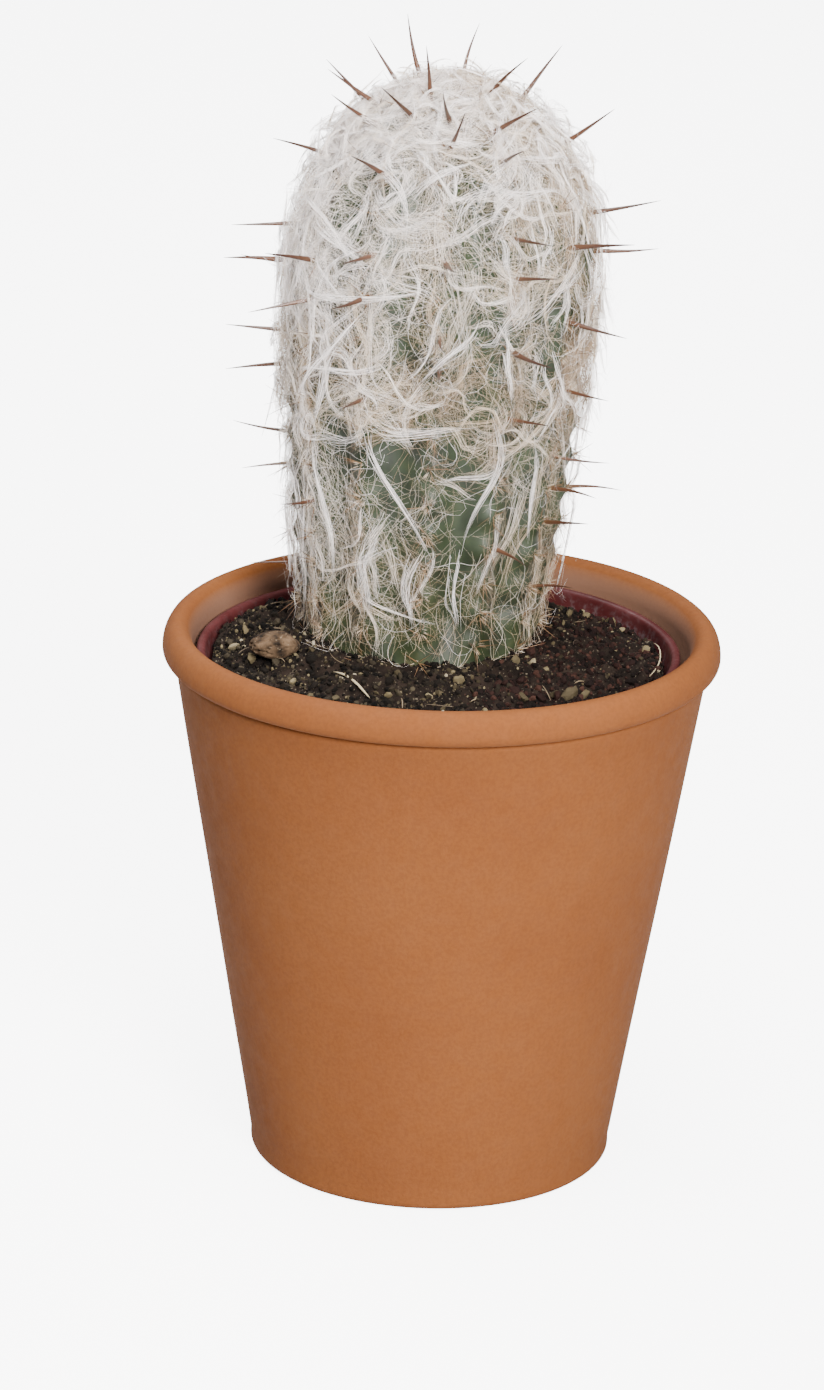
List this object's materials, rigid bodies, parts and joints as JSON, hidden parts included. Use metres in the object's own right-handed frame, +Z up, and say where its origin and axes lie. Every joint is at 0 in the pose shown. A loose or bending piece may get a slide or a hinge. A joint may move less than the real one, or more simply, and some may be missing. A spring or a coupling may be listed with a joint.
{
  "type": "potted woolly column cactus",
  "caption": "Short woolly column cactus with ribs, long hair and brown spines, in soil in a plastic nursery pot inside a tapered terracotta pot with a rolled rim.",
  "frame": {"origin": "centre of the pot's round outline, on the surface that the pot stands on", "axes": "+Z up along the pot's axis, front of the plant towards -Y"},
  "size_m": [0.13, 0.13, 0.2692],
  "materials": {
    "terracotta": "matte unglazed clay",
    "wine_plastic": "semi-gloss moulded plastic",
    "peat": "loose peat and grit",
    "pumice": "rough porous stone",
    "green_skin": "waxy plant skin",
    "white_wool": "long tangled plant hair",
    "brown_spine": "hard satin spine"
  },
  "bodies": {
    "root": {"terracotta_pot": "terracotta", "nursery_pot": "wine_plastic", "soil": "peat", "pumice_lump": "pumice", "cactus_stem": "green_skin", "wool_coat": "white_wool", "spine_01": "brown_spine", "spine_02": "brown_spine", "spine_03": "brown_spine", "spine_04": "brown_spine", "spine_05": "brown_spine", "spine_06": "brown_spine", "spine_07": "brown_spine", "spine_08": "brown_spine", "spine_09": "brown_spine", "spine_10": "brown_spine", "spine_11": "brown_spine", "spine_12": "brown_spine", "spine_13": "brown_spine", "spine_14": "brown_spine", "spine_15": "brown_spine", "spine_16": "brown_spine", "spine_17": "brown_spine", "spine_18": "brown_spine", "spine_19": "brown_spine", "spine_20": "brown_spine", "spine_21": "brown_spine", "spine_22": "brown_spine", "spine_23": "brown_spine", "spine_24": "brown_spine", "spine_25": "brown_spine", "spine_26": "brown_spine", "spine_27": "brown_spine", "spine_28": "brown_spine", "spine_29": "brown_spine", "spine_30": "brown_spine", "spine_31": "brown_spine", "spine_32": "brown_spine", "spine_33": "brown_spine", "spine_34": "brown_spine", "spine_35": "brown_spine", "spine_36": "brown_spine", "spine_37": "brown_spine", "spine_38": "brown_spine", "spine_39": "brown_spine", "spine_40": "brown_spine", "spine_41": "brown_spine", "spine_42": "brown_spine", "spine_43": "brown_spine", "spine_44": "brown_spine", "spine_45": "brown_spine", "spine_46": "brown_spine", "spine_47": "brown_spine", "spine_48": "brown_spine", "spine_49": "brown_spine", "spine_50": "brown_spine", "spine_51": "brown_spine", "spine_52": "brown_spine", "spine_53": "brown_spine"}
  },
  "joints": []
}
